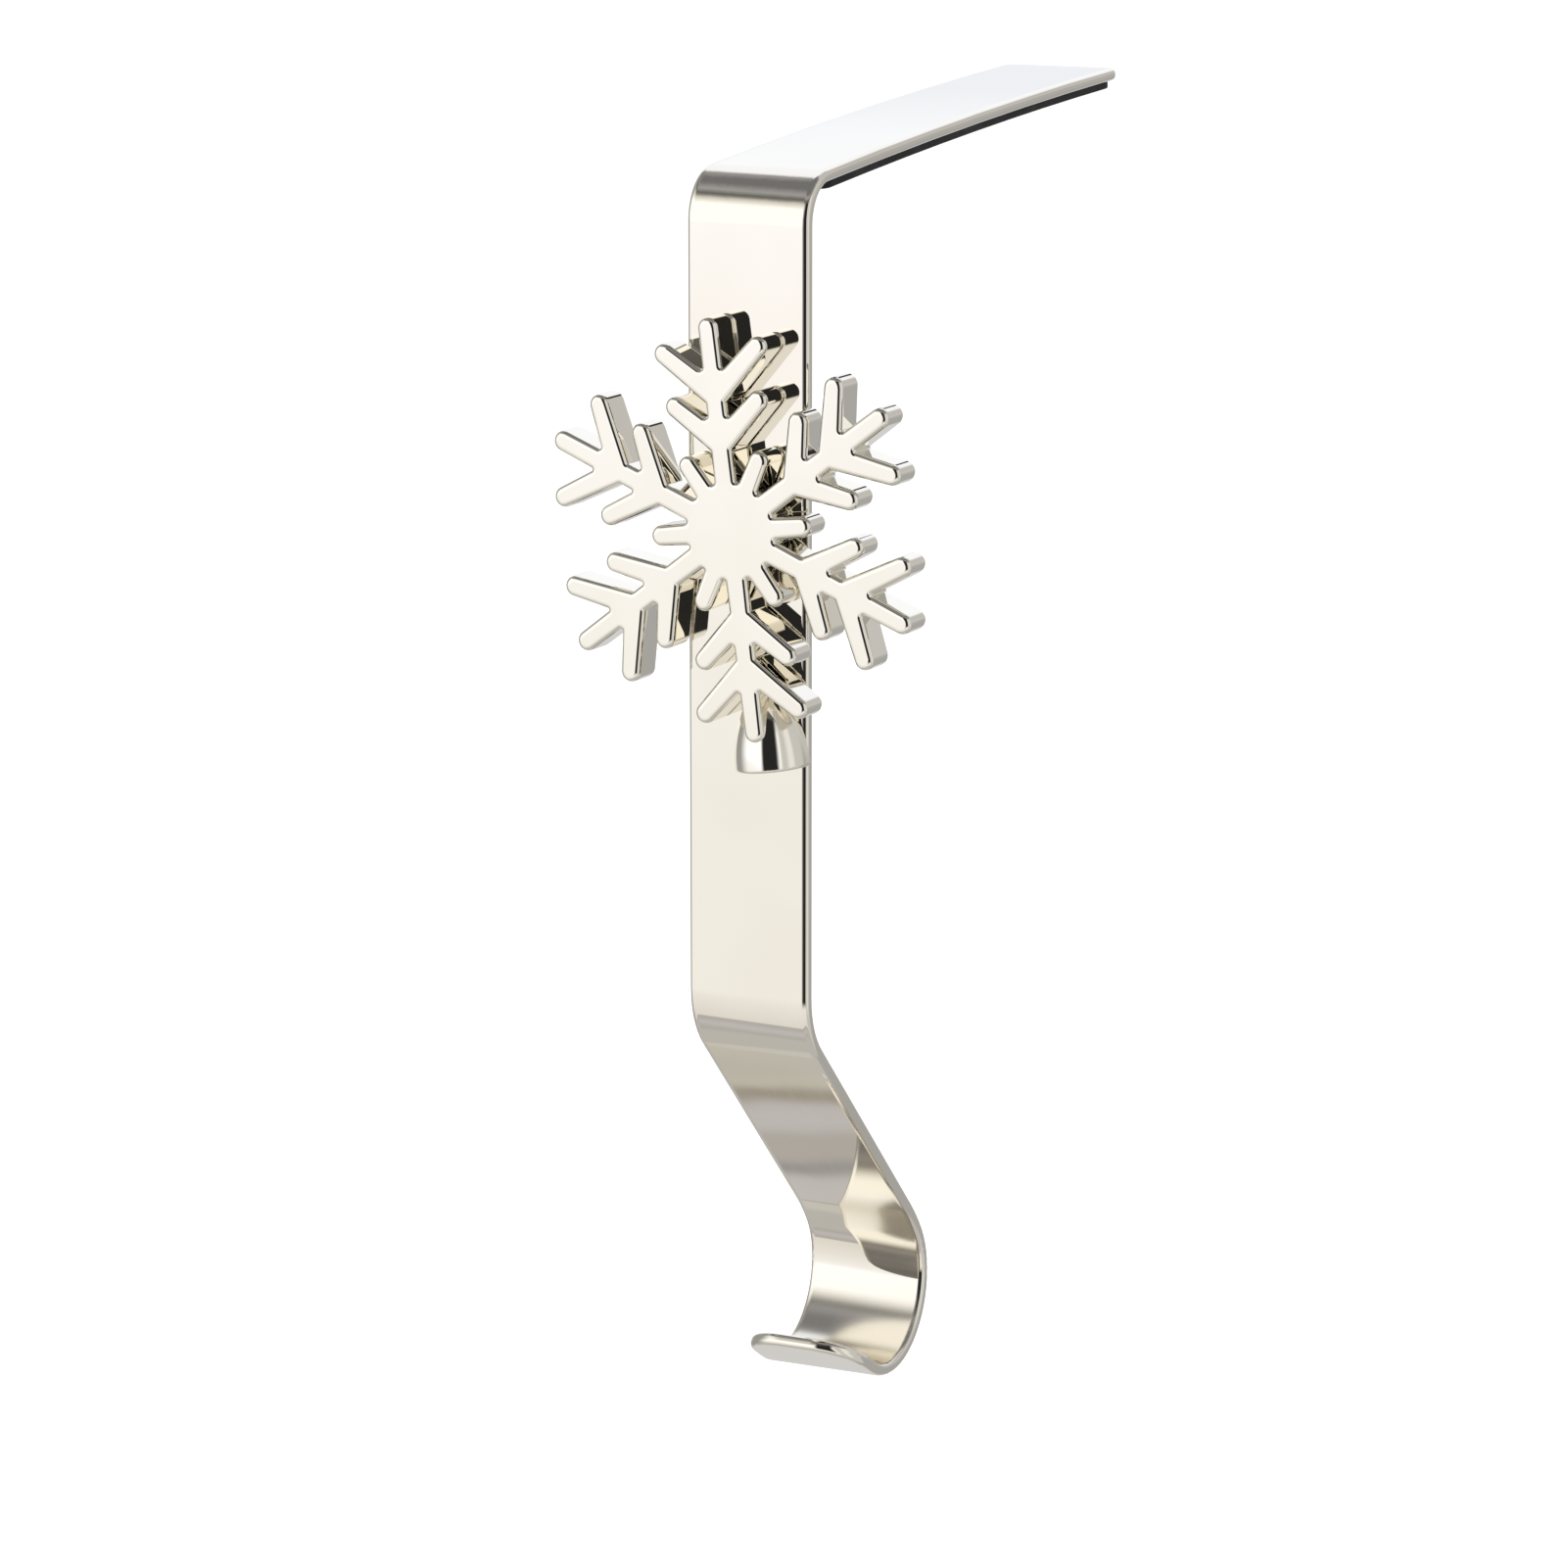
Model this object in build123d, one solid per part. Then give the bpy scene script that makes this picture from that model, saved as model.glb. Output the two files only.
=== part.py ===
from build123d import *
import math
import os

# Mantel stocking holder: a flat steel strap bent from one length, a die-cast snowflake screwed to its
# front, and a rubber pad under the plate that lies on the mantel. Millimetres, +Z up, +Y towards the wall.
# The origin is where the mantel's top front edge sits: Y = 0 is the strap's back face, and Z = 0 is the
# underside of the pad at its front end.

# Strap: section
STRAP_WIDTH = 20.0
STRAP_THICKNESS = 2.0
STRAP_EDGE_RADIUS = 0.8

# Strap: top plate, with its rise over level at the bend and the radius of its slight upward bow
PLATE_LENGTH = 110.0
PLATE_RISE_DEG = 5.0
PLATE_BOW_RADIUS = 2200.0
PLATE_CORNER_RADIUS = 1.6

# Strap: bends, measured on the face that shows, and the straight runs between them. The ease is a wide
# bend that leads from the slanted run into the hook.
TOP_BEND_RADIUS = 8.0
FRONT_RUN = 116.5
LOWER_BEND_RADIUS = 14.0
SLANT_DEG = 45.0
SLANT_RUN = 46.3
EASE_RADIUS = 31.0
EASE_DEG = 11.5
HOOK_RADIUS = 11.5
HOOK_PAST_BOTTOM_DEG = 32.0
LIP_LENGTH = 10.0
LIP_CORNER_RADIUS = 7.4

# Pad under the plate
PAD_THICKNESS = 1.2
PAD_SIDE_MARGIN = 0.8
PAD_END_MARGIN = 1.0
PAD_CORNER_RADIUS = 2.0
PAD_EDGE_RADIUS = 0.3

# Snowflake: its place on the front run, its turn in the plane of the strap, and its thickness
FLAKE_BELOW_TOP = 52.2
FLAKE_TURN_DEG = 7.2
FLAKE_THICKNESS = 6.0
FLAKE_EDGE_RADIUS = 0.8
FLAKE_WEB_RADIUS = 0.25
ARM_COUNT = 6

# Snowflake: hub, arms, side branches and short spokes, as distances from the centre to the rounded ends
HUB_RADIUS = 6.7
ARM_REACH = 31.8
ARM_ROOT_WIDTH = 3.8
ARM_TIP_WIDTH = 3.15
BRANCH_DEG = 49.0
OUTER_BRANCH_START = 20.2
OUTER_BRANCH_LENGTH = 11.8
INNER_BRANCH_START = 13.0
INNER_BRANCH_LENGTH = 10.65
SPOKE_REACH = 13.2

# Snowflake: the half-round foot on the lowest arm
FOOT_REACH = 36.4
FOOT_RADIUS = 6.0
FOOT_HEIGHT = 14.0
FOOT_EDGE_RADIUS = 0.5

# Countersunk screw from the strap's back into the hub
SCREW_DIAMETER = 3.0
SCREW_HEAD_DIAMETER = 5.6
SCREW_LENGTH = 6.0
SCREW_CLEARANCE = 0.05
SCREW_HOLE_SPARE = 0.6
SCREW_CROSS_LENGTH = 3.0
SCREW_CROSS_WIDTH = 0.7
SCREW_CROSS_DEPTH = 0.9

# Worked out from the sizes above
BEND_TOP_DEG = 90.0 - PLATE_RISE_DEG
PLATE_BOW_DEG = math.degrees(PLATE_LENGTH / PLATE_BOW_RADIUS)
RISE = math.radians(PLATE_RISE_DEG)
PAD_DEPTH = STRAP_THICKNESS + PAD_THICKNESS
# Height of the top bend's lower end that puts the pad's front end at Z = 0
FRONT_TOP_Z = PAD_DEPTH * math.cos(RISE) - TOP_BEND_RADIUS * math.cos(RISE)
# Height of the sharp corner that the front run and the plate's first direction would make
CORNER_Z = FRONT_TOP_Z + TOP_BEND_RADIUS * math.tan(math.radians(BEND_TOP_DEG / 2))
FLAKE_PLANE = Plane(
    origin=(0, -STRAP_THICKNESS, CORNER_Z - FLAKE_BELOW_TOP), x_dir=(1, 0, 0), z_dir=(0, -1, 0)
)
SCREW_PLANE = Plane(origin=(0, 0, CORNER_Z - FLAKE_BELOW_TOP), x_dir=(-1, 0, 0), z_dir=(0, 1, 0))


def front_top(depth):
    """The top of the front run, at a depth under the face that shows."""
    return Vector(depth - STRAP_THICKNESS, FRONT_TOP_Z)


def plate_line(depth):
    """The top bend and the bowed plate at a depth under the face that shows, as (bend, plate)."""
    bend = JernArc(front_top(depth), (0, 1), TOP_BEND_RADIUS - depth, -BEND_TOP_DEG)
    plate = JernArc(bend @ 1, bend % 1, PLATE_BOW_RADIUS - depth, -PLATE_BOW_DEG)
    return bend, plate


def strap_line(depth):
    """The strap's whole line at a depth under the face that shows, as edges from plate to lip."""
    bend, plate = plate_line(depth)
    front = Line(front_top(depth), front_top(depth) - Vector(0, FRONT_RUN))
    lower = JernArc(front @ 1, front % 1, LOWER_BEND_RADIUS - depth, SLANT_DEG)
    slant = Line(lower @ 1, (lower @ 1) + (lower % 1) * SLANT_RUN)
    ease = JernArc(slant @ 1, slant % 1, EASE_RADIUS + depth, -EASE_DEG)
    hook_turn = SLANT_DEG + 90.0 + HOOK_PAST_BOTTOM_DEG - EASE_DEG
    hook = JernArc(ease @ 1, ease % 1, HOOK_RADIUS + depth, -hook_turn)
    lip = Line(hook @ 1, (hook @ 1) + (hook % 1) * LIP_LENGTH)
    return [plate, bend, front, lower, slant, ease, hook, lip]


def bent_strip(near, far, ends, width):
    """A strip between two lines of the side view that are joined at both ends, centred on X = 0."""
    caps = [Line(*end) for end in ends]
    side = make_face([*near, *far, *caps])
    return extrude(Plane.YZ * side, width / 2, both=True)


def end_corners(strip, near_end, far_end):
    """The two corner edges, across the strip's thickness, of the end between two points of the side view."""
    middle = (near_end + far_end) / 2
    end = strip.faces().sort_by_distance(Vector(0, middle.X, middle.Y))[0]
    return end.edges().sort_by(SortBy.LENGTH)[:2]


def long_edges(strip):
    """The edges along both flat sides of the strip: all but each side's two short ones at its ends."""
    sides = strip.faces().filter_by(Plane.YZ)
    return [edge for side in sides for edge in side.edges().sort_by(SortBy.LENGTH)[2:]]


def screw_recess(radius, head_radius, depth):
    """A countersunk shape on the screw's plane: a 90 degree cone into a straight shank."""
    cone_depth = head_radius - radius
    outline = Polyline(
        (0, 0), (head_radius, 0), (radius, -cone_depth), (radius, -depth), (0, -depth), close=True
    )
    return SCREW_PLANE * revolve(Plane.XZ * make_face(outline), Axis.Z)


def hook_strap():
    """The bent steel strap: plate, front run, slanted run and hook, with the screw's countersunk hole."""
    shown = strap_line(0)
    back = strap_line(STRAP_THICKNESS)
    plate_end = (shown[0] @ 1, back[0] @ 1)
    lip_end = (shown[-1] @ 1, back[-1] @ 1)
    strap = bent_strip(shown, back, (plate_end, lip_end), STRAP_WIDTH)
    strap = fillet(end_corners(strap, *plate_end), PLATE_CORNER_RADIUS)
    strap = fillet(end_corners(strap, *lip_end), LIP_CORNER_RADIUS)
    strap = fillet(long_edges(strap), STRAP_EDGE_RADIUS)
    hole = screw_recess(
        SCREW_DIAMETER / 2 + SCREW_CLEARANCE,
        SCREW_HEAD_DIAMETER / 2 + SCREW_CLEARANCE,
        2 * STRAP_THICKNESS,
    )
    return strap - hole


def non_slip_pad():
    """The rubber strip under the plate, from the end of the bend to just short of the plate's end."""
    _, top = plate_line(STRAP_THICKNESS)
    _, bottom = plate_line(PAD_DEPTH)
    covered = 1 - PAD_END_MARGIN / PLATE_LENGTH
    top = top.trim(0, covered)
    bottom = bottom.trim(0, covered)
    ends = ((top @ 0, bottom @ 0), (top @ 1, bottom @ 1))
    pad = bent_strip([top], [bottom], ends, STRAP_WIDTH - 2 * PAD_SIDE_MARGIN)
    for end in ends:
        pad = fillet(end_corners(pad, *end), PAD_CORNER_RADIUS)
    under = pad.faces().filter_by(GeomType.CYLINDER).sort_by(SortBy.AREA)[-2:].sort_by(Axis.Z)[0]
    return fillet(under.edges(), PAD_EDGE_RADIUS)


def tapered_bar(reach):
    """A bar along +Y from the centre, narrowing to a rounded end at its reach."""
    root = Line((-ARM_ROOT_WIDTH / 2, 0), (ARM_ROOT_WIDTH / 2, 0))
    tip = Pos(0, reach - ARM_TIP_WIDTH / 2) * Circle(ARM_TIP_WIDTH / 2)
    return make_hull([root, *tip.edges()])


def flake_arm():
    """One arm along +Y with its inner and outer pairs of branches."""
    arm = tapered_bar(ARM_REACH)
    pairs = ((INNER_BRANCH_START, INNER_BRANCH_LENGTH), (OUTER_BRANCH_START, OUTER_BRANCH_LENGTH))
    for start, length in pairs:
        branch = tapered_bar(length)
        for turn in (BRANCH_DEG, -BRANCH_DEG):
            arm += Pos(0, start) * Rot(0, 0, turn) * branch
    return arm


def flake_outline():
    """The snowflake's outline: hub, arms and the short spokes between them, with rounded inner corners."""
    step = 360.0 / ARM_COUNT
    arm = flake_arm()
    spoke = Rot(0, 0, step / 2) * tapered_bar(SPOKE_REACH)
    outline = Circle(HUB_RADIUS)
    for index in range(ARM_COUNT):
        outline += Rot(0, 0, index * step) * (arm + spoke)
    return offset(offset(outline, FLAKE_WEB_RADIUS), -FLAKE_WEB_RADIUS)


def flake_foot():
    """The foot on the lowest arm: half of a pointed bell, flat underneath and where it meets the strap."""
    rise = FOOT_HEIGHT - FOOT_EDGE_RADIUS
    bell_radius = (FOOT_RADIUS**2 + rise**2) / (2 * FOOT_RADIUS)
    bell_deg = math.degrees(math.asin(rise / bell_radius))
    floor = Line((0, -FOOT_REACH), (FOOT_RADIUS - FOOT_EDGE_RADIUS, -FOOT_REACH))
    rim = JernArc(floor @ 1, floor % 1, FOOT_EDGE_RADIUS, 90)
    bell = JernArc(rim @ 1, rim % 1, bell_radius, bell_deg)
    axis = Line(bell @ 1, floor @ 0)
    return revolve(make_face([floor, rim, bell, axis]), Axis.Y, -180)


def snowflake_ornament():
    """The cast snowflake with its foot, turned on the strap, and the blind hole for the screw."""
    flake = extrude(flake_outline(), FLAKE_THICKNESS)
    faces = flake.faces().sort_by(Axis.Z)
    flake = fillet(faces[0].edges() + faces[-1].edges(), FLAKE_EDGE_RADIUS)
    flake = flake + flake_foot()
    flake = FLAKE_PLANE * Rot(0, 0, FLAKE_TURN_DEG) * flake
    hole = screw_recess(
        SCREW_DIAMETER / 2 + SCREW_CLEARANCE,
        SCREW_HEAD_DIAMETER / 2 + SCREW_CLEARANCE,
        SCREW_LENGTH + SCREW_HOLE_SPARE,
    )
    return flake - hole


def ornament_screw():
    """The countersunk screw, flush with the strap's back, with a cross recess in its head."""
    screw = screw_recess(SCREW_DIAMETER / 2, SCREW_HEAD_DIAMETER / 2, SCREW_LENGTH)
    slot = Box(SCREW_CROSS_LENGTH, SCREW_CROSS_WIDTH, 2 * SCREW_CROSS_DEPTH)
    return screw - SCREW_PLANE * slot - SCREW_PLANE * Rot(0, 0, 90) * slot


def main():
    """Write one STEP file for each piece."""
    os.makedirs("parts", exist_ok=True)
    for piece in (hook_strap, non_slip_pad, snowflake_ornament, ornament_screw):
        export_step(piece(), f"parts/{piece.__name__}.step")


main()
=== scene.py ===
"""Looks of a mantel stocking holder: polished nickel strap and snowflake, black rubber pad, steel screw."""

import logging
import math
from collections.abc import Mapping, Sequence
from dataclasses import dataclass
from enum import Enum
from typing import Protocol, Union

import bmesh
import bpy
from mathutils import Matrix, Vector


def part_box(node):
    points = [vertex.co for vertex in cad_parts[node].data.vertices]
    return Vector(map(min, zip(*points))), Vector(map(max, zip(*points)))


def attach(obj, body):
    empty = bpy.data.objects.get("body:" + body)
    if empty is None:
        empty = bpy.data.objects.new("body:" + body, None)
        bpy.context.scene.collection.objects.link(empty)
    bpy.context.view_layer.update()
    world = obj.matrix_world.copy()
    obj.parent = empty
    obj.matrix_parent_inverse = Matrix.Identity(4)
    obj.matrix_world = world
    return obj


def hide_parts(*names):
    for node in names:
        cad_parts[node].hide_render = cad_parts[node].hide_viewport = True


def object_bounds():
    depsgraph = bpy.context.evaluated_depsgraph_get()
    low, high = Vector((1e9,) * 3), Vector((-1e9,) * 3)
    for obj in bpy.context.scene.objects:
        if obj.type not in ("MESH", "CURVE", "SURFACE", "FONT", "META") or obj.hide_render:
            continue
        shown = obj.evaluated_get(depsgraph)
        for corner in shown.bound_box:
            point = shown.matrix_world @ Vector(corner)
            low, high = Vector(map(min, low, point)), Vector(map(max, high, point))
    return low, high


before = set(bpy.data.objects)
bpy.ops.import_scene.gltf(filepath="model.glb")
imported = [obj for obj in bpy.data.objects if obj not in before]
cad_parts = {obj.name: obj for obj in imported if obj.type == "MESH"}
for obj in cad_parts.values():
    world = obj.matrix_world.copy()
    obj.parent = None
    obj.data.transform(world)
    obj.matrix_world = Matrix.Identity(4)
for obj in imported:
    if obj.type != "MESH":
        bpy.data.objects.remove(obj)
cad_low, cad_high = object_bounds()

LOG = logging.getLogger("stocking_holder")
MM = 0.001
NOISE_MIDDLE = 0.5

Triple = tuple[float, float, float]
Colour = Triple
Span = tuple[float, float]


class Part(Enum):
    """The solids of the holder, by node name."""

    STRAP = "hook_strap"
    SNOWFLAKE = "snowflake_ornament"
    PAD = "non_slip_pad"
    SCREW = "ornament_screw"


class Ray(Enum):
    """A kind of light ray, by its output on the Light Path node."""

    CAMERA = "Is Camera Ray"
    GLOSSY = "Is Glossy Ray"
    TRANSMISSION = "Is Transmission Ray"


class Edge(Enum):
    """How a mask rises from nothing to full."""

    SOFT = "SMOOTHSTEP"
    STRAIGHT = "LINEAR"


@dataclass(frozen=True)
class Signal:
    """A value in a node sheet that takes part in sums."""

    sheet: "NodeSheet"
    socket: bpy.types.NodeSocket

    def __add__(self, other: "Value") -> "Signal":
        """This value plus another."""
        return self.sheet.math("ADD", self, other)

    def __radd__(self, other: "Value") -> "Signal":
        """Another value plus this one."""
        return self.sheet.math("ADD", other, self)

    def __sub__(self, other: "Value") -> "Signal":
        """This value less another."""
        return self.sheet.math("SUBTRACT", self, other)

    def __rsub__(self, other: "Value") -> "Signal":
        """Another value less this one."""
        return self.sheet.math("SUBTRACT", other, self)

    def __mul__(self, other: "Value") -> "Signal":
        """This value times another."""
        return self.sheet.math("MULTIPLY", self, other)

    def __rmul__(self, other: "Value") -> "Signal":
        """Another value times this one."""
        return self.sheet.math("MULTIPLY", other, self)

    def __truediv__(self, other: "Value") -> "Signal":
        """This value over another."""
        return self.sheet.math("DIVIDE", self, other)

    def __rtruediv__(self, other: "Value") -> "Signal":
        """Another value over this one."""
        return self.sheet.math("DIVIDE", other, self)

    def __neg__(self) -> "Signal":
        """This value with its sign turned."""
        return self.sheet.math("MULTIPLY", self, -1.0)

    def __abs__(self) -> "Signal":
        """This value without its sign."""
        return self.sheet.math("ABSOLUTE", self)

    def rise(self, start: float, end: float, edge: Edge = Edge.SOFT) -> "Signal":
        """A mask that is 0 before start and 1 after end.

        Args:
            start: the value at which the mask leaves 0.
            end: the value at which the mask reaches 1.
            edge: how it rises between them.

        Returns:
            The mask.
        """
        made = self.sheet.node(
            "ShaderNodeMapRange",
            {"interpolation_type": edge.value},
            {"Value": self, "From Min": start, "From Max": end},
        )
        return Signal(self.sheet, made.outputs["Result"])

    def within(self, limits: Span, soft: float) -> "Signal":
        """A mask that is full between two limits.

        Args:
            limits: the values at which the mask is half full.
            soft: how wide each of its edges is.

        Returns:
            The mask.
        """
        low, high = limits
        start = self.rise(low - soft / 2, low + soft / 2)
        return start * (1.0 - self.rise(high - soft / 2, high + soft / 2))


Value = Union[Signal, float]


class NodeSheet:
    """A node tree that is filled by expressions."""

    def __init__(self, tree: bpy.types.NodeTree) -> None:
        """Empty the tree.

        Args:
            tree: the node tree of a material or a world.
        """
        self.tree = tree
        tree.nodes.clear()

    def node(
        self,
        kind: str,
        settings: Mapping[str, object] | None = None,
        inputs: Mapping[str | int, object] | None = None,
    ) -> bpy.types.Node:
        """Make one node.

        Args:
            kind: the node's type.
            settings: its own settings, which are set first; "stops" holds a ramp's (place, colour) pairs.
            inputs: values, signals or sockets for its inputs, by name or place.

        Returns:
            The node.
        """
        made = self.tree.nodes.new(kind)
        for name, value in (settings or {}).items():
            if name == "stops":
                self._set_stops(made.color_ramp, value)
            else:
                setattr(made, name, value)
        for key, value in (inputs or {}).items():
            self._feed(made.inputs[key], value)
        return made

    def math(self, operation: str, first: Value, second: Value = 0.0) -> Signal:
        """One sum on values.

        Args:
            operation: the Math node's operation.
            first: its first value.
            second: its second value, where the operation has one.

        Returns:
            The result.
        """
        made = self.node("ShaderNodeMath", {"operation": operation}, {0: first, 1: second})
        return Signal(self, made.outputs["Value"])

    def mix(self, factor: Value, first: object, second: object) -> bpy.types.NodeSocket:
        """A colour between two colours.

        Args:
            factor: 0 gives the first colour and 1 the second.
            first: a colour or a colour socket.
            second: a colour or a colour socket.

        Returns:
            The colour socket.
        """
        made = self.node("ShaderNodeMix", {"data_type": "RGBA"}, {0: factor, 6: first, 7: second})
        return made.outputs[2]

    def ramp(
        self, value: Signal, limits: Span, stops: Sequence[tuple[float, Colour]]
    ) -> bpy.types.NodeSocket:
        """A colour that runs straight from stop to stop.

        Args:
            value: where on the ramp to read.
            limits: the values at the ramp's ends.
            stops: (value, colour) pairs from the lowest to the highest.

        Returns:
            The colour socket.
        """
        low, high = limits
        places = [((place - low) / (high - low), colour) for place, colour in stops]
        factor = value.rise(low, high, Edge.STRAIGHT)
        made = self.node("ShaderNodeValToRGB", {"stops": places}, {"Fac": factor})
        return made.outputs["Color"]

    def noise(
        self, place: bpy.types.NodeSocket, scale: float, detail: float = 2.0, roughness: float = 0.5
    ) -> Signal:
        """Soft noise from 0 to 1.

        Args:
            place: the coordinates that it reads, in metres.
            scale: cells in a metre.
            detail: how many finer layers are added.
            roughness: how strong the finer layers are.

        Returns:
            The noise.
        """
        made = self.node(
            "ShaderNodeTexNoise", None,
            {"Vector": place, "Scale": scale, "Detail": detail, "Roughness": roughness},
        )
        return Signal(self, made.outputs["Fac"])

    def place(
        self, centre: Sequence[float] = (0.0, 0.0, 0.0), stretch: Sequence[float] = (1.0, 1.0, 1.0)
    ) -> bpy.types.NodeSocket:
        """The piece's own coordinates, counted from a centre and stretched.

        Args:
            centre: the point that becomes zero, in metres.
            stretch: factors on the three axes.

        Returns:
            The coordinates.
        """
        own = self.node("ShaderNodeTexCoord").outputs["Object"]
        shift = [-c * s for c, s in zip(centre, stretch)]
        mapping = self.node("ShaderNodeMapping", None, {"Vector": own, "Location": shift, "Scale": stretch})
        return mapping.outputs["Vector"]

    def split(self, vector: bpy.types.NodeSocket) -> tuple[Signal, Signal, Signal]:
        """The three parts of a vector."""
        made = self.node("ShaderNodeSeparateXYZ", None, {"Vector": vector})
        return tuple(Signal(self, socket) for socket in made.outputs)

    def ray(self, kind: Ray) -> Signal:
        """1 for rays of one kind and 0 for the others."""
        return Signal(self, self.node("ShaderNodeLightPath").outputs[kind.value])

    def bump(self, height: Signal) -> bpy.types.NodeSocket:
        """A normal bent by a relief whose height is in metres."""
        made = self.node("ShaderNodeBump", None, {"Strength": 1.0, "Distance": 1.0, "Height": height})
        return made.outputs["Normal"]

    def principled(self, inputs: Mapping[str, object]) -> None:
        """End the sheet in one Principled shader with these inputs."""
        shader = self.node("ShaderNodeBsdfPrincipled", None, inputs)
        self.node("ShaderNodeOutputMaterial", None, {"Surface": shader.outputs["BSDF"]})

    def _feed(self, socket: bpy.types.NodeSocket, value: object) -> None:
        """Link a signal or a socket to an input, or set the input's own value."""
        if isinstance(value, Signal):
            self.tree.links.new(value.socket, socket)
        elif isinstance(value, bpy.types.NodeSocket):
            self.tree.links.new(value, socket)
        elif socket.type == "RGBA" and len(value) == 3:
            socket.default_value = (*value, 1.0)
        else:
            socket.default_value = value

    @staticmethod
    def _set_stops(ramp: bpy.types.ColorRamp, stops: Sequence[tuple[float, Colour]]) -> None:
        """Give a ramp its stops, from its first to its last."""
        while len(ramp.elements) < len(stops):
            ramp.elements.new(1.0)
        for element, (position, colour) in zip(ramp.elements, stops):
            element.position = position
            element.color = (*colour, 1.0)


def sheet_for(name: str) -> tuple[bpy.types.Material, NodeSheet]:
    """A new material and its empty node sheet.

    Args:
        name: the material's name.

    Returns:
        The material and the sheet.
    """
    material = bpy.data.materials.new(name)
    material.use_nodes = True
    return material, NodeSheet(material.node_tree)


class Finish(Protocol):
    """What every finish has: a name, and a material that is made when it is asked for."""

    name: str

    def material(self) -> bpy.types.Material:
        """The finish as a material."""


@dataclass(frozen=True)
class EdgeRoll:
    """Where polishing has rolled a strap's flat face over towards its edges, counted from the middle."""

    start: float
    end: float
    depth: float

    def height(self, across: Signal) -> Signal:
        """The relief of the rolled edges at a place across the strap."""
        return -abs(across).rise(self.start, self.end) * self.depth


@dataclass(frozen=True)
class BendRipple:
    """Fine ripples that the bending tool leaves, from the top of the front run to the start of the plate."""

    rise: Span
    fall: Span
    scale: float = 420.0
    depth: float = 1.6e-5

    def height(self, sheet: NodeSheet) -> Signal:
        """The relief of the ripples."""
        place = sheet.place()
        _, y, z = sheet.split(place)
        bend = z.rise(*self.rise) * (1.0 - y.rise(*self.fall))
        return sheet.noise(place, self.scale, detail=2.0) * bend * self.depth


@dataclass(frozen=True)
class SoftPolish:
    """A softer polish inside the bottom of the hook, round an axis along X."""

    axis: Span
    inside: Span
    depth: Span
    roughness: float

    def haze(self, sheet: NodeSheet) -> Signal:
        """The roughness that the softer polish adds."""
        _, y, z = sheet.split(sheet.place((0.0, *self.axis)))
        radius = sheet.math("SQRT", y * y + z * z)
        return (1.0 - radius.rise(*self.inside)) * (-z).rise(*self.depth) * self.roughness


@dataclass(frozen=True)
class PolishedNickel:
    """Bright nickel plating over polished metal: a warm mirror with faint polishing marks and slow waves."""

    name: str
    tint: Colour = (0.91, 0.87, 0.785)
    deep_tint: Colour = (0.89, 0.848, 0.758)
    roughness: float = 0.02
    roughness_spread: float = 0.012
    mark_stretch: Triple = (1.0, 0.02, 0.02)
    mark_scale: float = 2600.0
    wave_scale: float = 60.0
    wave_depth: float = 4.0e-6
    tint_span: Span = (0.3, 0.7)
    roll: EdgeRoll | None = None
    ripple: BendRipple | None = None
    soft_polish: SoftPolish | None = None

    def material(self) -> bpy.types.Material:
        """The finish as a material."""
        material, sheet = sheet_for(self.name)
        place = sheet.place()
        marks = sheet.noise(sheet.place(stretch=self.mark_stretch), self.mark_scale, detail=3.0)
        clouds = sheet.noise(place, self.wave_scale, detail=1.0)
        relief = clouds * self.wave_depth
        if self.roll:
            across, _, _ = sheet.split(place)
            relief = relief + self.roll.height(across)
        if self.ripple:
            relief = relief + self.ripple.height(sheet)
        roughness = self.roughness + (marks - NOISE_MIDDLE) * self.roughness_spread
        if self.soft_polish:
            roughness = roughness + self.soft_polish.haze(sheet)
        sheet.principled({
            "Base Color": sheet.mix(clouds.rise(*self.tint_span), self.tint, self.deep_tint),
            "Metallic": 1.0,
            "Roughness": roughness,
            "Normal": sheet.bump(relief),
        })
        return material


@dataclass(frozen=True)
class MattRubber:
    """Black sheet rubber with a fine grain and a little dust."""

    name: str
    black: Colour = (0.008, 0.008, 0.009)
    dusty: Colour = (0.022, 0.022, 0.023)
    specular: float = 0.3
    roughness: float = 0.62
    roughness_spread: float = 0.25
    grain_scale: float = 2400.0
    grain_depth: float = 4.0e-5
    dust_scale: float = 180.0
    dust_span: Span = (0.45, 0.75)

    def material(self) -> bpy.types.Material:
        """The finish as a material."""
        material, sheet = sheet_for(self.name)
        place = sheet.place()
        grain = sheet.noise(place, self.grain_scale, detail=4.0, roughness=0.6)
        dust = sheet.noise(place, self.dust_scale, detail=5.0)
        sheet.principled({
            "Base Color": sheet.mix(dust.rise(*self.dust_span), self.black, self.dusty),
            "Roughness": self.roughness + (grain - NOISE_MIDDLE) * self.roughness_spread,
            "Specular IOR Level": self.specular,
            "Normal": sheet.bump(grain * self.grain_depth),
        })
        return material


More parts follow.
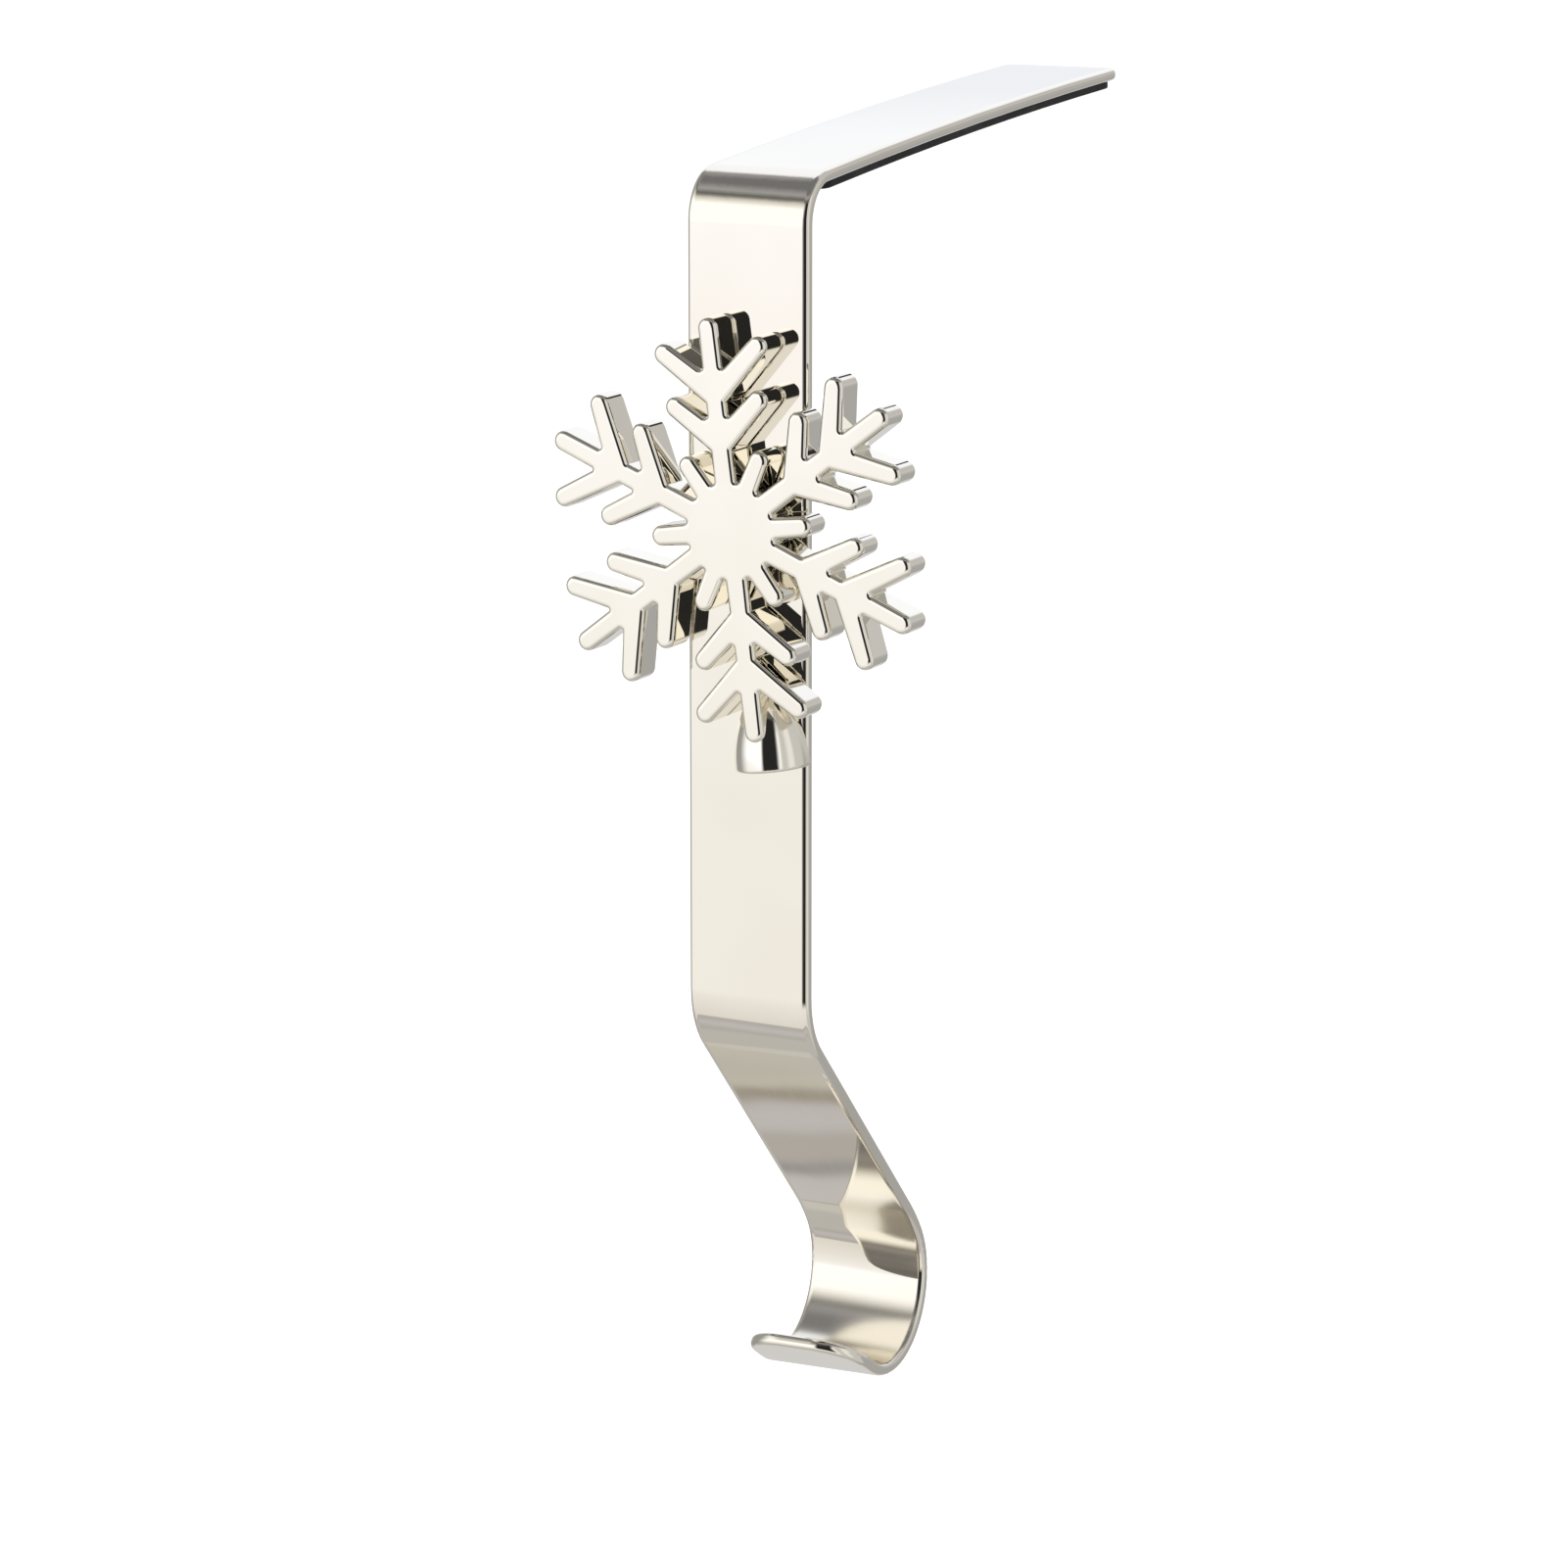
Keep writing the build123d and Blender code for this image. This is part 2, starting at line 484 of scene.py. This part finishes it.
@dataclass(frozen=True)
class TurnedSteel:
    """Zinc-plated steel with the lathe's fine rings round a centre in the X-Z plane."""

    name: str
    centre: Triple
    tint: Colour = (0.62, 0.62, 0.60)
    worn: Colour = (0.50, 0.50, 0.47)
    roughness: float = 0.26
    roughness_spread: float = 0.16
    ring_pitch: float = 0.09 * MM
    ring_depth: float = 3.0e-6
    stain_scale: float = 900.0
    stain_span: Span = (0.4, 0.7)

    def material(self) -> bpy.types.Material:
        """The finish as a material."""
        material, sheet = sheet_for(self.name)
        place = sheet.place(self.centre)
        x, _, z = sheet.split(place)
        radius = sheet.math("SQRT", x * x + z * z)
        rings = sheet.math("SINE", radius * (2 * math.pi / self.ring_pitch)) * 0.5 + 0.5
        stains = sheet.noise(place, self.stain_scale, detail=4.0)
        sheet.principled({
            "Base Color": sheet.mix(stains.rise(*self.stain_span), self.tint, self.worn),
            "Metallic": 1.0,
            "Roughness": self.roughness + (stains - NOISE_MIDDLE) * self.roughness_spread,
            "Normal": sheet.bump(rings * self.ring_depth),
        })
        return material


@dataclass
class Piece:
    """One of the holder's solids, which keeps its shape and wears a finish."""

    part: Part

    def finish(self) -> Finish:
        """The finish that the piece wears."""
        raise NotImplementedError

    def dress(self) -> None:
        """Put the finish on the solid and report it."""
        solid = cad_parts[self.part.value]
        finish = self.finish()
        solid.data.materials.clear()
        solid.data.materials.append(finish.material())
        LOG.info("dressed %s in %s", self.part.value, finish.name)


@dataclass
class HookStrap(Piece):
    """The bent strap: plate, front run, slanted run and hook, with rolled edges and a rippled top bend.

    It is shown by a copy of the solid whose shading runs on smoothly from each flat run into its bends.
    """

    part: Part = Part.STRAP
    slot: str = "polished_strap"
    merge_distance: float = 0.001 * MM
    sharp_angle: float = math.radians(40.0)
    # Faces whose areas differ by less than this count alike. Otherwise the larger face sets the normal.
    like_areas: float = 10.0 * MM**2
    largest_only: int = 100
    roll_width: float = 1.1 * MM
    roll_left: float = 0.6 * MM
    roll_depth: float = 0.057 * MM
    ripple_rise: Span = (-4.0 * MM, -1.0 * MM)
    ripple_fall: Span = (2.0 * MM, 5.5 * MM)
    hook_axis: Span = (29.18 * MM, -175.08 * MM)
    soft_inside: Span = (12.0 * MM, 13.0 * MM)
    soft_depth: Span = (2.0 * MM, 5.0 * MM)
    soft_roughness: float = 0.2

    def finish(self) -> Finish:
        """Nickel with the strap's own relief, polished less in the hook."""
        half_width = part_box(self.part.value)[1].x
        return PolishedNickel(
            "strap_nickel",
            roll=EdgeRoll(half_width - self.roll_width, half_width - self.roll_left, self.roll_depth),
            ripple=BendRipple(self.ripple_rise, self.ripple_fall),
            soft_polish=SoftPolish(self.hook_axis, self.soft_inside, self.soft_depth, self.soft_roughness),
        )

    def dress(self) -> None:
        """Put the finish on the smooth copy, show it for the solid and report it."""
        finish = self.finish()
        skin = self._skin(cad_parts[self.part.value])
        skin.data.materials.append(finish.material())
        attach(skin, "root")
        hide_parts(self.part.value)
        LOG.info("dressed %s in %s", skin.name, finish.name)

    def _skin(self, solid: bpy.types.Object) -> bpy.types.Object:
        """Copy the solid as one closed skin.

        Args:
            solid: the object that holds the solid's loose triangles.

        Returns:
            The copy, whose large flat faces set the normals at their borders.
        """
        shape = bmesh.new()
        shape.from_mesh(solid.data)
        bmesh.ops.remove_doubles(shape, verts=shape.verts, dist=self.merge_distance)
        bmesh.ops.recalc_face_normals(shape, faces=shape.faces)
        for face in shape.faces:
            face.smooth = True
        for edge in shape.edges:
            edge.smooth = edge.calc_face_angle(math.pi) < self.sharp_angle
        mesh = bpy.data.meshes.new("strap_skin")
        shape.to_mesh(mesh)
        shape.free()
        if "custom_normal" in mesh.attributes:
            mesh.attributes.remove(mesh.attributes["custom_normal"])
        skin = bpy.data.objects.new("strap_skin", mesh)
        bpy.context.scene.collection.objects.link(skin)
        normals = skin.modifiers.new("flat_runs_first", "WEIGHTED_NORMAL")
        normals.mode = "FACE_AREA"
        normals.weight = self.largest_only
        normals.thresh = self.like_areas
        normals.keep_sharp = True
        return skin


@dataclass
class SnowflakeOrnament(Piece):
    """The cast snowflake with its foot, a little paler and polished in no one direction."""

    part: Part = Part.SNOWFLAKE
    tint: Colour = (0.93, 0.895, 0.812)
    deep_tint: Colour = (0.915, 0.878, 0.788)
    mark_stretch: Triple = (1.0, 1.0, 1.0)
    wave_length: float = 9.0 * MM
    wave_depth: float = 3.0e-6

    def finish(self) -> Finish:
        """Nickel over a casting."""
        return PolishedNickel(
            "snowflake_nickel", tint=self.tint, deep_tint=self.deep_tint, mark_stretch=self.mark_stretch,
            wave_scale=1.0 / self.wave_length, wave_depth=self.wave_depth,
        )


@dataclass
class NonSlipPad(Piece):
    """The rubber strip under the plate."""

    part: Part = Part.PAD

    def finish(self) -> Finish:
        """Black rubber."""
        return MattRubber("pad_rubber")


@dataclass
class OrnamentScrew(Piece):
    """The countersunk screw that shows on the strap's back."""

    part: Part = Part.SCREW

    def finish(self) -> Finish:
        """Steel turned round the screw's own axis."""
        low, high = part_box(self.part.value)
        return TurnedSteel("screw_steel", tuple((low + high) / 2))


@dataclass(frozen=True)
class Patch:
    """A soft-edged part of the room as mirrors see it, by azimuth from the front and elevation in degrees."""

    azimuth: Span
    elevation: Span
    soft: Span

    def mask(self, azimuth: Signal, elevation: Signal) -> Signal:
        """Where the patch is, for a direction's two angles."""
        return azimuth.within(self.azimuth, self.soft[0]) * elevation.within(self.elevation, self.soft[1])


@dataclass(frozen=True)
class Panel(Patch):
    """A patch of one colour."""

    level: Colour
    name: str


@dataclass(frozen=True)
class Lamp:
    """A square soft lamp, placed from the middle of the holder and pointed at it."""

    name: str
    place: Triple
    side: float
    watts: float

    def build(self) -> None:
        """Make the lamp, which mirrors don't show."""
        data = bpy.data.lights.new(self.name, "AREA")
        data.size = self.side
        data.energy = self.watts
        lamp = bpy.data.objects.new(self.name, data)
        bpy.context.scene.collection.objects.link(lamp)
        offset = Vector(self.place)
        lamp.location = (cad_low + cad_high) / 2 + offset
        lamp.rotation_euler = (-offset).to_track_quat("-Z", "Y").to_euler()
        lamp.visible_glossy = False


@dataclass
class Studio:
    """The white room, its floor and its lamps."""

    floor_drop: float = 0.16
    floor_reach: float = 8.0
    heights: tuple[tuple[float, Colour], ...] = (
        (-90.0, (0.52, 0.51, 0.51)),
        (-61.0, (0.53, 0.52, 0.505)),
        (-58.0, (0.47, 0.46, 0.455)),
        (-53.0, (0.56, 0.55, 0.565)),
        (-48.5, (0.49, 0.48, 0.475)),
        (-46.0, (0.48, 0.47, 0.46)),
        (-45.0, (0.79, 0.77, 0.745)),
        (-36.0, (0.835, 0.82, 0.80)),
        (-22.0, (0.90, 0.89, 0.875)),
        (-14.2, (0.96, 0.956, 0.944)),
        (-12.3, (0.968, 0.966, 0.956)),
        (-6.9, (1.08, 1.07, 1.11)),
        (-6.5, (1.095, 1.085, 1.13)),
        (-6.1, (1.12, 1.15, 1.23)),
        (2.0, (1.22, 1.22, 1.22)),
        (28.0, (1.22, 1.22, 1.22)),
        (34.0, (0.94, 0.935, 0.90)),
        (40.0, (0.62, 0.61, 0.57)),
        (44.0, (0.26, 0.255, 0.24)),
        (47.5, (0.14, 0.14, 0.135)),
        (51.0, (0.26, 0.255, 0.26)),
        (55.0, (0.37, 0.365, 0.375)),
        (59.0, (0.30, 0.295, 0.305)),
        (63.0, (0.18, 0.18, 0.19)),
        (90.0, (0.18, 0.18, 0.19)),
    )
    mat_bands: tuple[tuple[float, Colour], ...] = (
        (0.280, (0.60, 0.59, 0.56)),
        (0.2835, (0.60, 0.58, 0.53)),
        (0.2905, (0.53, 0.515, 0.48)),
        (0.2940, (0.58, 0.565, 0.51)),
        (0.2952, (0.33, 0.30, 0.25)),
        (0.2966, (0.33, 0.30, 0.25)),
        (0.2985, (0.56, 0.545, 0.57)),
        (0.3025, (0.56, 0.545, 0.565)),
        (0.3045, (0.45, 0.435, 0.42)),
        (0.3092, (0.47, 0.45, 0.44)),
        (0.3108, (0.31, 0.305, 0.31)),
        (0.3118, (0.31, 0.305, 0.31)),
        (0.3134, (0.57, 0.56, 0.575)),
        (0.330, (0.55, 0.54, 0.54)),
    )
    mat_tilt: float = 0.11
    mat_middle: float = -0.485
    mat: Patch = Patch((-136, -104), (-66, -58.5), (10, 2))
    panels: tuple[Panel, ...] = (
        Panel((-138, -72), (-44, 40), (40, 12), (0.34, 0.34, 0.335), "left wall"),
        Panel((46, 134), (-44, 45), (16, 10), (0.60, 0.60, 0.585), "right wall"),
        Panel((67, 86), (-24, 40), (14, 10), (0.84, 0.84, 0.82), "right strip"),
        Panel((-9, 39), (-20, 45), (12, 10), (0.022, 0.022, 0.022), "dark side"),
        Panel((118, 200), (-95, 8), (14, 24), (0.41, 0.41, 0.415), "right of the back floor"),
        Panel((-200, -140), (-95, 3), (10, 8), (0.66, 0.66, 0.67), "left of the back floor"),
        Panel((138, 200), (8, 60), (10, 24), (1.0, 1.03, 1.12), "right backdrop"),
        Panel((130, 168), (-2, 60), (10, 24), (0.56, 0.555, 0.555), "right haze"),
        Panel((-200, -134), (3, 66), (12, 15), (0.90, 0.94, 1.02), "left backdrop"),
        Panel((-200, -134), (11.9, 64), (12, 5), (1.025, 1.055, 1.125), "top of the left backdrop"),
    )
    lamps: tuple[Lamp, ...] = (
        Lamp("key_lamp", (-0.9, -1.3, 1.1), 1.0, 16.0),
        Lamp("fill_lamp", (1.2, 0.8, 1.4), 1.2, 9.0),
    )
    plain_level: Colour = (0.62, 0.62, 0.62)
    white: Colour = (1.0, 1.0, 1.0)
    paper: Colour = (0.82, 0.82, 0.82)
    paper_glow: Colour = (0.6, 0.6, 0.6)

    def build(self) -> None:
        """Make the world, the floor and the lamps."""
        self._world()
        self._floor()
        for lamp in self.lamps:
            lamp.build()

    def _world(self) -> None:
        """White for the camera, soft white light, and a room of panels for mirrors."""
        world = bpy.data.worlds.new("studio")
        bpy.context.scene.world = world
        world.use_nodes = True
        sheet = NodeSheet(world.node_tree)
        mirrored = sheet.math("MAXIMUM", sheet.ray(Ray.GLOSSY), sheet.ray(Ray.TRANSMISSION))
        plain = sheet.mix(sheet.ray(Ray.CAMERA), self.plain_level, self.white)
        shown = sheet.mix(mirrored, plain, self._room(sheet))
        light = sheet.node("ShaderNodeBackground", None, {"Color": shown})
        sheet.node("ShaderNodeOutputWorld", None, {"Surface": light.outputs["Background"]})

    def _room(self, sheet: NodeSheet) -> bpy.types.NodeSocket:
        """The room as mirrors see it.

        Args:
            sheet: the world's node sheet.

        Returns:
            The colour socket.
        """
        x, y, z = sheet.split(sheet.node("ShaderNodeTexCoord").outputs["Generated"])
        degrees = 180.0 / math.pi
        azimuth = sheet.math("ARCTAN2", x, -y) * degrees
        elevation = sheet.math("ARCSINE", z) * degrees
        room = sheet.ramp(elevation, (-90.0, 90.0), self.heights)
        for panel in self.panels:
            room = sheet.mix(panel.mask(azimuth, elevation), room, panel.level)
            LOG.info("mirrors show the %s", panel.name)
        along = y / abs(z) + (x / abs(z) - self.mat_middle) * self.mat_tilt
        bands = sheet.ramp(along, (self.mat_bands[0][0], self.mat_bands[-1][0]), self.mat_bands)
        return sheet.mix(self.mat.mask(azimuth, elevation), room, bands)

    def _floor(self) -> None:
        """A wide pale floor below the hook that keeps the holder's shadow."""
        shape = bmesh.new()
        bmesh.ops.create_grid(shape, x_segments=1, y_segments=1, size=self.floor_reach)
        bmesh.ops.translate(shape, verts=shape.verts, vec=(0.0, 0.0, cad_low.z - self.floor_drop))
        mesh = bpy.data.meshes.new("floor")
        shape.to_mesh(mesh)
        shape.free()
        floor = bpy.data.objects.new("floor", mesh)
        bpy.context.scene.collection.objects.link(floor)
        material, sheet = sheet_for("floor_paper")
        paper = sheet.node("ShaderNodeBsdfDiffuse", None, {"Color": self.paper})
        glow = sheet.node("ShaderNodeEmission", None, {"Color": self.paper_glow})
        lit = sheet.node("ShaderNodeAddShader", None, {0: paper.outputs[0], 1: glow.outputs[0]})
        camera = sheet.ray(Ray.CAMERA)
        shown = sheet.node("ShaderNodeMixShader", None, {0: camera, 1: paper.outputs[0], 2: lit.outputs[0]})
        sheet.node("ShaderNodeOutputMaterial", None, {"Surface": shown.outputs[0]})
        mesh.materials.append(material)
        floor.visible_glossy = False


@dataclass
class PhotoCamera:
    """The camera at the photograph's place, by its angles, its distance and the point it aims at."""

    azimuth: float = 25.93
    elevation: float = 11.79
    distance: float = 0.847
    aim: Triple = (8.33 * MM, -6.70 * MM, -87.13 * MM)
    focal_pixels: float = 5821.0
    image_pixels: float = 1601.0
    sensor: float = 36.0
    nearest: float = 10.0 * MM

    def build(self) -> None:
        """Make the camera and hand it to the scene."""
        across, up = math.radians(self.azimuth), math.radians(self.elevation)
        back = Vector((math.sin(across) * math.cos(up), -math.cos(across) * math.cos(up), math.sin(up)))
        data = bpy.data.cameras.new("photo_camera")
        data.sensor_width = self.sensor
        data.lens = self.focal_pixels * self.sensor / self.image_pixels
        data.clip_start = self.nearest
        camera = bpy.data.objects.new("photo_camera", data)
        bpy.context.scene.collection.objects.link(camera)
        camera.location = Vector(self.aim) + back * self.distance
        camera.rotation_euler = (-back).to_track_quat("-Z", "Y").to_euler()
        bpy.context.scene.camera = camera


def main() -> None:
    """Dress the holder piece by piece and set it in the studio."""
    logging.basicConfig(level=logging.INFO, format="%(message)s")
    bpy.context.scene.view_settings.view_transform = "Standard"
    for piece in (HookStrap(), SnowflakeOrnament(), NonSlipPad(), OrnamentScrew()):
        piece.dress()
    Studio().build()
    PhotoCamera().build()


if __name__ == "__main__":
    main()
